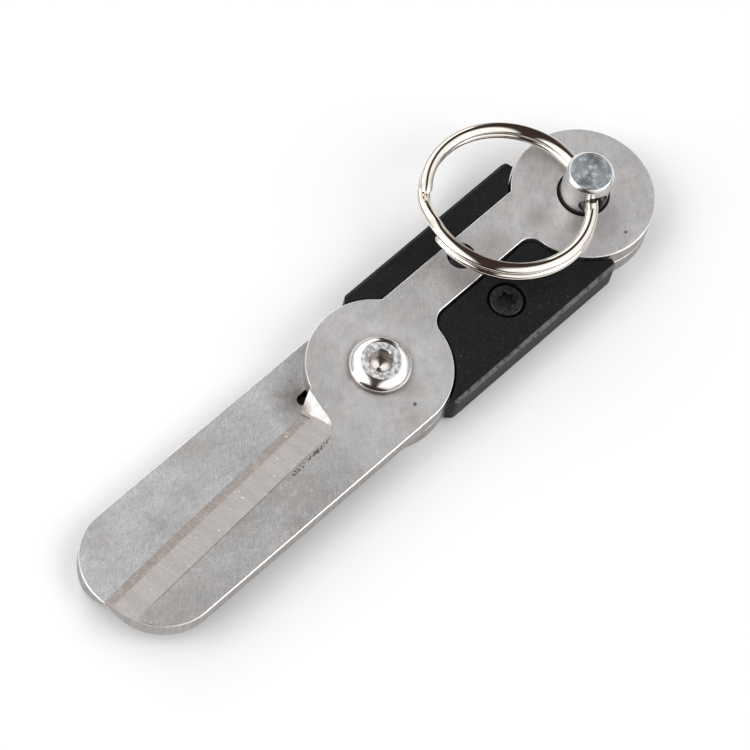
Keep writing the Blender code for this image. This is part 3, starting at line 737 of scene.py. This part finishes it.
def black_oxide(name):
    """Black oxide on a steel screw, brassy where it has worn."""
    look = Look(name, metallic=0.6)
    grains = look.noise((3400, 3400, 3400), detail=3)
    wear = look.ramp(look.noise((1500, 1500, 1500), detail=2), 0.68, 0.78)
    base = look.mix(look.ramp(grains, 0.4, 0.7), (0.012, 0.012, 0.013), (0.035, 0.035, 0.038))
    base = look.mix(look.times(wear, 0.5), base, (0.16, 0.15, 0.14))
    return look.finished(base, look.ramp(grains, 0.3, 0.7, 0.32, 0.5), grains, 0.01, 0.6)


# ---- Pieces ----

def plate_outline():
    """Outline of the upper plate, from the blade's back round the tail to its cutting edge."""
    front, tail, front_angle, tail_angle = fillets()
    neck_angle = math.degrees(math.asin(NECK_OUTER / DISC))
    outline = arc((0, 0), DISC, -90, front_angle)
    outline += arc(front, FRONT_FILLET, front_angle + 180, 90, 10)
    outline += arc(tail, TAIL_FILLET, 90, tail_angle - 180, 10)
    outline += arc((TAIL_X, 0), DISC, tail_angle, 540 - neck_angle)
    outline += arc((0, 0), DISC, neck_angle, EYE_ANGLE)
    outline += [*EYE_TO_HEEL, EDGE_HEEL, EDGE_SECOND, EDGE_MIDDLE, EDGE_FOURTH, EDGE_TIP]
    outline += arc(TIP_CENTRE, TIP_RADIUS, 174, 270)
    return outline


def bevel_cutter():
    """Everything above the ground bevel, ending in the sloping wall beside the pivot eye."""
    beyond = BEVEL_TIP[0] - BEVEL_OVERRUN
    slope = (BEVEL_TIP[1] - BEVEL_HEEL[1]) / (BEVEL_TIP[0] - BEVEL_HEEL[0])
    outline = [*RUN_OUT, (beyond, BEVEL_HEEL[1] + slope * (beyond - BEVEL_HEEL[0])), (beyond, RUN_OUT[0][1])]
    upper = []
    lower = []
    for index, (x, y) in enumerate(outline):
        run = RUN_OUT_SLOPE if index < len(RUN_OUT) else 0.0
        foot = x - run * max(STACK - bevel_height(x, y), 0.0)
        upper.append((x + run, y, STACK + 1.0))
        lower.append((foot, y, bevel_height(foot, y)))
    return joined_cutter("bevel_cutter", (upper, lower))


def honing_cutter():
    """Wedge above the narrow second bevel along the cutting edge."""
    across = across_edge(EDGE_HEEL, EDGE_TIP)
    along = (Vector(EDGE_TIP) - Vector(EDGE_HEEL)).normalized()
    low = STACK - PLATE + EDGE_LAND
    high = bevel_height(EDGE_MIDDLE[0], EDGE_MIDDLE[1] - HONED_WIDTH)
    before, reach = HONED_OVERRUN
    slope = (high - low) / HONED_WIDTH
    corners = ((-HONED_WIDTH - HONED_OVERLAP, high + HONED_OVERLAP * slope),
               (reach, low - slope * reach), (reach, high + reach))
    rings = []
    for place in (Vector(EDGE_HEEL) - along * before, Vector(EDGE_TIP) + along * reach):
        rings.append([(*(place + across * offset), height) for offset, height in corners])
    return joined_cutter("honing_cutter", rings)


def spring_tangent():
    """Angle, in degrees, where the lower leg of the opening spring leaves its coil."""
    end_angle = math.degrees(math.atan2(SLOT_END[1], SLOT_END[0]))
    return end_angle - math.degrees(math.acos(SPRING_RADIUS / math.hypot(*SLOT_END)))


def slot_outline():
    """Slot for the upper leg of the spring, along the tangent from the coil to its round end."""
    angle = math.radians(-spring_tangent())
    start = Vector((math.cos(angle), math.sin(angle))) * SPRING_RADIUS
    end = Vector((SLOT_END[0], -SLOT_END[1]))
    heading = math.degrees(math.atan2(end.y - start.y, end.x - start.x))
    outline = arc(end, SLOT_WIDTH / 2, heading - 90, heading + 90, 12)
    return outline + arc(start, SLOT_WIDTH / 2, heading + 90, heading + 270, 180)


def plate_slot(face):
    """Material slot of a plate's face, by its place and direction."""
    normal = face.normal
    centre = face.center / MM
    inner = STACK - PLATE
    depth = SPRING_POCKET[1]
    if inner + 0.2 < centre.z < inner + depth + 0.05 and math.hypot(centre.x, centre.y) < POCKET_REACH:
        if abs(normal.z) > 0.9 or centre.z < inner + depth * 0.6:
            return POCKET
    if abs(normal.z) > 0.9995:
        return FLAT
    if centre.x < BLADE_START and centre.y > BLADE_BACK and normal.z > 0.15:
        if centre.x > RUN_OUT_END and normal.x < -0.3:
            return WALL
        if abs(centre.z - bevel_height(centre.x, centre.y)) < 0.02:
            return BEVEL
        if normal.y > 0.3 and centre.y > -1.0:
            return HONED
    return SIDE if abs(normal.z) < 0.2 else RIM


def make_plates():
    """Twin blade plates: the lower one is the upper one flipped."""
    inner = STACK - PLATE
    plate = prism("upper_plate", plate_outline(), inner, STACK, EDGE_ROUND)
    cut(plate, bevel_cutter())
    cut(plate, honing_cutter())
    for centre, radius in (((0, 0, 0), PIVOT_BORE), ((TAIL_X, 0, 0), PIN_BORE), ((*GRIP_SCREW, 0), GRIP_BORE)):
        cut(plate, rod(centre, radius, inner - 1, STACK + 1))
    cut(plate, rod((0, 0, 0), SPRING_POCKET[0], inner - 1, inner + SPRING_POCKET[1]))
    cut(plate, prism("slot_cutter", slot_outline(), inner - 1, inner + SPRING_POCKET[1]))
    plate = baked(plate, "upper_plate")
    for face in plate.data.polygons:
        face.material_index = plate_slot(face)
    lower = flipped(plate, "lower_plate")
    warm_grey = ((0.41, 0.403, 0.398), (0.50, 0.493, 0.488))
    pale_grey = ((0.50, 0.503, 0.508), (0.59, 0.593, 0.597))
    faces = {"upper_plate": tumbled_steel("upper_face", (0, 0, 0), warm_grey, UPPER_MARKS, True),
             "lower_plate": tumbled_steel("lower_face", (1.7, 0.6, 0), pale_grey, LOWER_SHADE_MARKS, False)}
    shared = [ground_steel("ground_bevel", (0.47, 0.443, 0.423), (0.27, 0.252, 0.238)),
              ground_steel("honed_edge", (0.49, 0.442, 0.415), (0.29, 0.257, 0.238),
                           shift=(2, 0, 0), roughness=(0.34, 0.5), blotched=0.38),
              run_out_steel("run_out_wall"),
              sheared_steel("sheared_side"),
              # rounded edges: smoother from wear, and painted bright as a highlight
              polished("worn_highlit_rim", (0.80, 0.79, 0.78), 0.26),
              # near black in the spring pocket and its slot: painted shade in the recess between the plates
              black_oxide("pocket_painted_shade")]
    for obj, body, node in ((plate, "upper_half", "upper_blade_plate"),
                            (lower, "lower_half", "lower_blade_plate")):
        paint(obj, faces[obj.name], *shared)
        shade(obj, flats=(FLAT, BEVEL, HONED, WALL))
        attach(obj, body)
        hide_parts(node)


def grip_outline():
    """Outline of the right grip, a small gap away from the upper plate."""
    front, tail, front_angle, tail_angle = fillets()
    outline = arc((TAIL_X, 0), DISC + GRIP_GAP, 180 + GRIP_TAIL_ANGLE, tail_angle)
    outline += arc(tail, TAIL_FILLET - GRIP_GAP, tail_angle - 180, 90, 10)
    outline += arc(front, FRONT_FILLET - GRIP_GAP, 90, 180 + front_angle, 10)
    outline += arc((0, 0), DISC + GRIP_GAP, front_angle, -GRIP_FRONT_ANGLE)
    outline += arc((GRIP_FRONT_CORNER, -GRIP_OUTER + GRIP_CORNER), GRIP_CORNER, 220, 270, 15)
    outline += arc((GRIP_TAIL_CORNER, -GRIP_OUTER + GRIP_CORNER), GRIP_CORNER, 270, 350, 15)
    outline.reverse()
    return outline


def edge_bar(height):
    """Long square bar turned on its edge, for the chamfer along the grip's outer edge."""
    shape = bmesh.new()
    bmesh.ops.create_cube(shape, size=1.0)
    side = GRIP_CHAMFER * math.sqrt(2) * MM
    mesh = meshed(shape, "edge_bar")
    place = Matrix.Translation(Vector((TAIL_X / 2, -GRIP_OUTER, height)) * MM)
    size = Matrix.Diagonal((60 * MM, side, side, 1.0))
    mesh.transform(place @ Matrix.Rotation(math.radians(45), 4, "X") @ size)
    return linked("edge_bar", mesh)


def make_grips():
    """Black grips: a layer over the other plate's neck, and a wall down its outer edge."""
    grip = prism("grip_right", grip_outline(), STACK - GRIP_TOP, GRIP_TOP, GRIP_ROUND)
    low_wall = -NECK_OUTER - 0.1
    neck = [(-2, low_wall), (TAIL_X + 5, low_wall), (TAIL_X + 5, 2), (-2, 2)]
    cut(grip, prism("room", neck, -1, PLATE + GRIP_FLOOR))
    place = (GRIP_SCREW[0], -GRIP_SCREW[1], 0)
    cut(grip, rod(place, RECESS[0], GRIP_TOP - RECESS[1], GRIP_TOP + 1))
    cut(grip, rod(place, RECESS[0] - 0.4, GRIP_TOP - 0.5, GRIP_TOP + 0.5, far_radius=RECESS[0] + 0.6))
    cut(grip, rod(place, GRIP_BORE, 0, GRIP_TOP))
    cut(grip, edge_bar(GRIP_TOP))
    cut(grip, edge_bar(STACK - GRIP_TOP))
    grip = baked(grip, "grip_right")
    for face in grip.data.polygons:
        centre = face.center / MM
        chamfer = abs(abs(face.normal.z) - math.sqrt(0.5)) < 0.02 and abs(face.normal.x) < 0.02
        if centre.y < -GRIP_OUTER + GRIP_CHAMFER:
            face.material_index = 1 if chamfer else 2 if abs(face.normal.z) < 0.3 else 0
    left = flipped(grip, "grip_left")
    # the near grip's chamfer: rubbed wear and a painted highlight
    edge = rubbed_and_highlit_nylon("rubbed_and_highlit_nylon")
    plain_edge = moulded_nylon("edge_nylon", (1.1, 0.3, 0))
    side = scuffed_nylon("scuffed_nylon")
    for obj, body, node, shift in ((grip, "lower_half", "right_grip", (0, 0, 0)),
                                   (left, "upper_half", "left_grip", (2.3, 1.1, 0))):
        paint(obj, moulded_nylon(obj.name + "_nylon", shift), edge if obj is grip else plain_edge, side)
        shade(obj)
        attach(obj, body)
        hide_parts(node)


def make_pivot_screw():
    """Button head screw with a hexagon socket; its end is level with the lower plate's outer face.

    Its material slots: dome, flat, socket floor, socket wall painted dark as shade, foot of the dome painted
    dark as a reflection.
    """
    base = STACK + 0.02
    dome = PIVOT_TOP - base - PIVOT_SKIRT
    profile = [(0, PIVOT_TOP), (PIVOT_FLAT - 0.06, PIVOT_TOP)]
    steps = 18
    high, low = [math.radians(angle) for angle in PIVOT_DOME]
    for step in range(steps + 1):
        angle = high + (low - high) * step / steps
        out = math.cos(angle) / math.cos(low)
        up = (math.sin(angle) - math.sin(low)) / (1 - math.sin(low))
        profile.append((PIVOT_FLAT + (PIVOT_RADIUS - PIVOT_FLAT) * out, base + PIVOT_SKIRT + dome * up))
    profile += [(PIVOT_RADIUS - 0.05, base), (PIVOT_SHANK, base),
                (PIVOT_SHANK, 0.3), (PIVOT_SHANK - 0.3, 0), (0, 0)]
    screw = turned("pivot_screw_head", profile)
    corner = PIVOT_HEX / 2 / math.cos(math.radians(30))
    cut(screw, rod((0, 0, 0), corner, PIVOT_TOP - HEX_DEPTH, PIVOT_TOP + 1, 6))
    drill_top = PIVOT_TOP - HEX_DEPTH + 0.05
    cut(screw, rod((0, 0, 0), 0.1, PIVOT_TOP - DRILL_DEPTH, drill_top, 48, far_radius=PIVOT_HEX / 2))
    cut(screw, rod((0, 0, 0), corner - 0.42, PIVOT_TOP - 0.3, PIVOT_TOP + 0.3, 48, far_radius=corner + 0.18))
    screw = baked(screw, "pivot_screw_head")
    screw.data.transform(Matrix.Rotation(math.radians(SOCKET_TURN), 4, "Z"))
    for face in screw.data.polygons:
        centre = face.center / MM
        flat_top = face.normal.z > 0.99 and centre.z > PIVOT_TOP - 0.02
        in_socket = math.hypot(centre.x, centre.y) < corner and centre.z > STACK - 1
        on_wall = in_socket and abs(face.normal.z) < 0.2
        on_foot = centre.z > STACK and abs(face.normal.z) < 0.45 and not in_socket
        face.material_index = 1 if flat_top else 3 if on_wall else 2 if in_socket else 4 if on_foot else 0
    paint(screw,
          polished("pivot_polish", (0.92, 0.905, 0.89), 0.11),
          cast_metal("pivot_flat", (0.96, 0.96, 0.96), 0.42, 1900),
          polished("socket_floor", (0.80, 0.75, 0.68), 0.14),
          # painted shade on the socket's walls
          polished("socket_wall_shade", (0.07, 0.06, 0.055), 0.2),
          # painted dark reflection on the foot of the dome
          polished("pivot_foot_dark_reflection", (0.34, 0.295, 0.27), 0.16))
    shade(screw)
    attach(screw, "lower_half")
    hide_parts("pivot_screw")


def torx_outline(centre):
    """Six-lobed socket outline around a centre."""
    points = []
    for x, y in arc((0, 0), 1.0, 0, 356.25, 3.75):
        radius = TORX[0] * (1.0 + TORX_WAVE * math.cos(6 * math.atan2(y, x)))
        points.append((centre[0] + radius * x, centre[1] + radius * y))
    return points


def make_grip_screws():
    """Black cap screws that hold each grip down on the neck of its plate."""
    place = (GRIP_SCREW[0], -GRIP_SCREW[1])
    top = SCREW_HIGH.z
    radius = (SCREW_HIGH.x - SCREW_LOW.x) / 2
    base = GRIP_TOP - RECESS[1] + 0.04
    profile = [(0, top), (radius, top), (radius, base), (CAP_SHANK, base),
               (CAP_SHANK, SCREW_LOW.z), (0, SCREW_LOW.z)]
    screw = turned("grip_screw_right", rounded_profile(profile, CAP_ROUND), 72, place)
    cut(screw, prism("socket", torx_outline(place), top - TORX[1], top + 1))
    screw = baked(screw, "grip_screw_right")
    left = flipped(screw, "grip_screw_left")
    look = black_oxide("black_oxide")
    for obj, body, node in ((screw, "lower_half", "right_grip_screw"),
                            (left, "upper_half", "left_grip_screw")):
        paint(obj, look)
        shade(obj)
        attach(obj, body)
        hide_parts(node)


def make_spring():
    """Torsion spring round the pivot, with one leg in each plate."""
    start = spring_tangent()
    sweep = -(2 * start + 360)
    rise = SPRING_PITCH * abs(sweep) / 360
    low = STACK / 2 - rise / 2
    steps = 130
    tangent = Vector(arc((0, 0), SPRING_RADIUS, start, start)[0])
    leg = Vector(SLOT_END) - tangent
    tip = tangent + leg * (1 - SPRING_LEG_SHORT / leg.length)
    coil = arc((0, 0), SPRING_RADIUS, start, start + sweep, abs(sweep) / steps)
    points = [(tip.x, tip.y, low)]
    points += [(x, y, low + rise * step / steps) for step, (x, y) in enumerate(coil)]
    upper_tip = tangent + leg.normalized() * SPRING_UPPER_LEG
    points.append((upper_tip.x, -upper_tip.y, low + rise))
    spring = wire("opening_coil", points, SPRING_WIRE, SPRING_WIRE)
    paint(spring, brushed_round("spring_wire", *SPRING_TONES, 0.3))
    shade(spring, 40)
    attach(spring, "lower_half")
    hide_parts("opening_spring")


def ring_axis():
    """Level direction of the pin's cross-hole: square to the line from the pin to the ring's centre."""
    away = Vector((TAIL_X - RING_CENTRE[0], -RING_CENTRE[1], 0)).normalized()
    return Vector((0, 0, 1)).cross(away)


def make_pin():
    """Turned lock pin: chamfered rim, faced end with turning marks, and the ring's cross-hole."""
    profile = [(0, PIN_HIGH.z), (PIN_RADIUS - PIN_RIM, PIN_HIGH.z), (PIN_RADIUS, PIN_HIGH.z - PIN_RIM),
               (PIN_RADIUS, PIN_LOW.z + PIN_RIM), (PIN_RADIUS - PIN_RIM, PIN_LOW.z), (0, PIN_LOW.z)]
    pin = turned("pin", rounded_profile(profile, PIN_ROUND), 120, (TAIL_X, 0))
    cut(pin, rod((TAIL_X, 0, RING_AXIS_Z), PIN_HOLE, -5, 5, 72, ring_axis()))
    detent = (TAIL_X, 0, (BALL_LOW.z + BALL_HIGH.z) / 2)
    cut(pin, rod(detent, (BALL_HIGH.z - BALL_LOW.z) / 2 + 0.1, DETENT_START, 5, 48, (1, 0, 0)))
    pin = baked(pin, "pin")
    for face in pin.data.polygons:
        centre = face.center / MM
        top_face = face.normal.z > 0.99 and centre.z > PIN_HIGH.z - 0.05
        on_side = math.hypot(centre.x - TAIL_X, centre.y) > PIN_RADIUS - 0.05
        face.material_index = 1 if top_face else 0 if on_side else 2
    paint(pin,
          brushed_round("pin_side", (0.74, 0.73, 0.72), (0.50, 0.49, 0.48), 0.27),
          lathe_turned("pin_end", (TAIL_X, 0), (0.46, 0.50, 0.525), (0.25, 0.28, 0.305)),
          polished("pin_rim", (0.84, 0.84, 0.83), 0.17))
    shade(pin)
    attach(pin, "lock_pin_body")
    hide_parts("lock_pin")


def make_ring():
    """Split ring: two turns of one wire that steps from the lower turn to the upper one."""
    normal = Vector((*RING_TILT, 1.0)).normalized()
    turn = Vector((0, 0, 1)).rotation_difference(normal).to_matrix()
    first = RING_JOG + RING_END
    sweep = 720 - 2 * first
    steps = 340
    points = []
    for step in range(steps + 1):
        along = first + sweep * step / steps
        climb = min(max((along - 360 + RING_JOG) / (2 * RING_JOG), 0.0), 1.0)
        rise = climb * climb * (3 - 2 * climb) - 0.5
        angle = math.radians(along + RING_SPLIT)
        radius = RING_RADIUS - RING_DRIFT * rise
        place = Vector((radius * math.cos(angle), radius * math.sin(angle), RING_WIRE[1] * 1.01 * rise))
        points.append(Vector(RING_CENTRE) + turn @ place)
    ring = wire("split_ring", points, *RING_WIRE, (0.6, 0.88, 0.97))
    paint(ring, polished("ring_nickel", (0.84, 0.79, 0.715), 0.06, 0.02))
    shade(ring, 50)
    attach(ring, "ring_body")
    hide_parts("key_ring")


def dress_hidden_nodes():
    """Materials for the detent's ball and spring, which stay as they are in the frame."""
    looks = {"detent_ball": polished("ball_polish", (0.86, 0.86, 0.86), 0.08),
             "detent_spring": brushed_round("detent_wire", *SPRING_TONES, 0.3)}
    for node, look in looks.items():
        obj = frame["nodes"][node]
        obj.data.materials.clear()
        paint(obj, look)


# ---- Stage ----

def make_camera():
    """Camera at the product's viewing angle."""
    azimuth = math.radians(CAMERA_AZIMUTH)
    back = direction_to(CAMERA_AZIMUTH, CAMERA_ELEVATION)
    right = Vector((math.cos(azimuth), math.sin(azimuth), 0))
    level = Matrix((right, back.cross(right), back)).transposed()
    turn = level @ Matrix.Rotation(math.radians(CAMERA_ROLL), 3, "Z")
    data = bpy.data.cameras.new("camera")
    data.lens = LENS
    data.sensor_width = 36.0
    data.clip_start = 0.01
    data.clip_end = 20.0
    camera = linked("camera", data)
    offset = turn @ Vector((*AIM_SHIFT, CAMERA_DISTANCE))
    camera.matrix_world = Matrix.Translation((Vector((0, 0, STACK)) + offset) * MM) @ turn.to_4x4()
    bpy.context.scene.camera = camera


def make_floor():
    """Plain pale floor."""
    shape = bmesh.new()
    bmesh.ops.create_grid(shape, x_segments=1, y_segments=1, size=3.0)
    floor = linked("floor", meshed(shape, "floor"))
    floor.location.z = -0.2 * MM
    look = Look("floor_paper", metallic=0.0)
    for socket, value in (("Base Color", (0.79, 0.79, 0.79, 1.0)), ("Roughness", 0.85),
                          ("Specular IOR Level", 0.1), ("Emission Color", (1.0, 1.0, 1.0, 1.0)),
                          ("Emission Strength", 0.03)):
        look.shader.inputs[socket].default_value = value
    paint(floor, look.material)


def softbox(name, azimuth, elevation, distance, size, power):
    """Rectangular area light aimed at the middle of the object, from an azimuth and elevation."""
    direction = direction_to(azimuth, elevation)
    data = bpy.data.lights.new(name, "AREA")
    data.shape = "RECTANGLE"
    data.size, data.size_y = size
    data.energy = power
    light = linked(name, data)
    light.location = direction * distance
    light.rotation_euler = direction.to_track_quat("Z", "Y").to_euler()


def make_sky():
    """Pale dome, dark on one side and along a strip that runs overhead from there."""
    world = bpy.data.worlds.new("studio")
    world.use_nodes = True
    bpy.context.scene.world = world
    sky = Nodes(world.node_tree, "Generated")
    ramp = sky.tree.nodes.new("ShaderNodeValToRGB")
    while len(ramp.color_ramp.elements) < len(SKY):
        ramp.color_ramp.elements.new(0.5)
    for element, (place, colour) in zip(ramp.color_ramp.elements, SKY):
        element.position = place
        element.color = (*colour, 1.0)
    sky.link(sky.along((0, 0, 1)), ramp.inputs["Fac"])
    azimuth = math.radians(DARK_AZIMUTH)
    side = sky.ramp(sky.along(direction_to(DARK_AZIMUTH, 0)), *DARK_SIDE)
    across = sky.math("ABSOLUTE", sky.along((math.cos(azimuth), math.sin(azimuth), 0)))
    dark = sky.math("MAXIMUM", side, sky.ramp(across, STRIP[1], STRIP[0]))
    sky.link(sky.mix(dark, ramp.outputs["Color"], SKY_DARK), sky.tree.nodes["Background"].inputs["Color"])


def make_light():
    """Soft studio light: the sky and large softboxes."""
    make_sky()
    for box in SOFTBOXES:
        softbox(*box)
    bpy.context.scene.view_settings.view_transform = "Standard"
    bpy.context.scene.view_settings.look = "None"


make_plates()
make_grips()
make_pivot_screw()
make_grip_screws()
make_spring()
make_pin()
make_ring()
dress_hidden_nodes()
make_camera()
make_floor()
make_light()
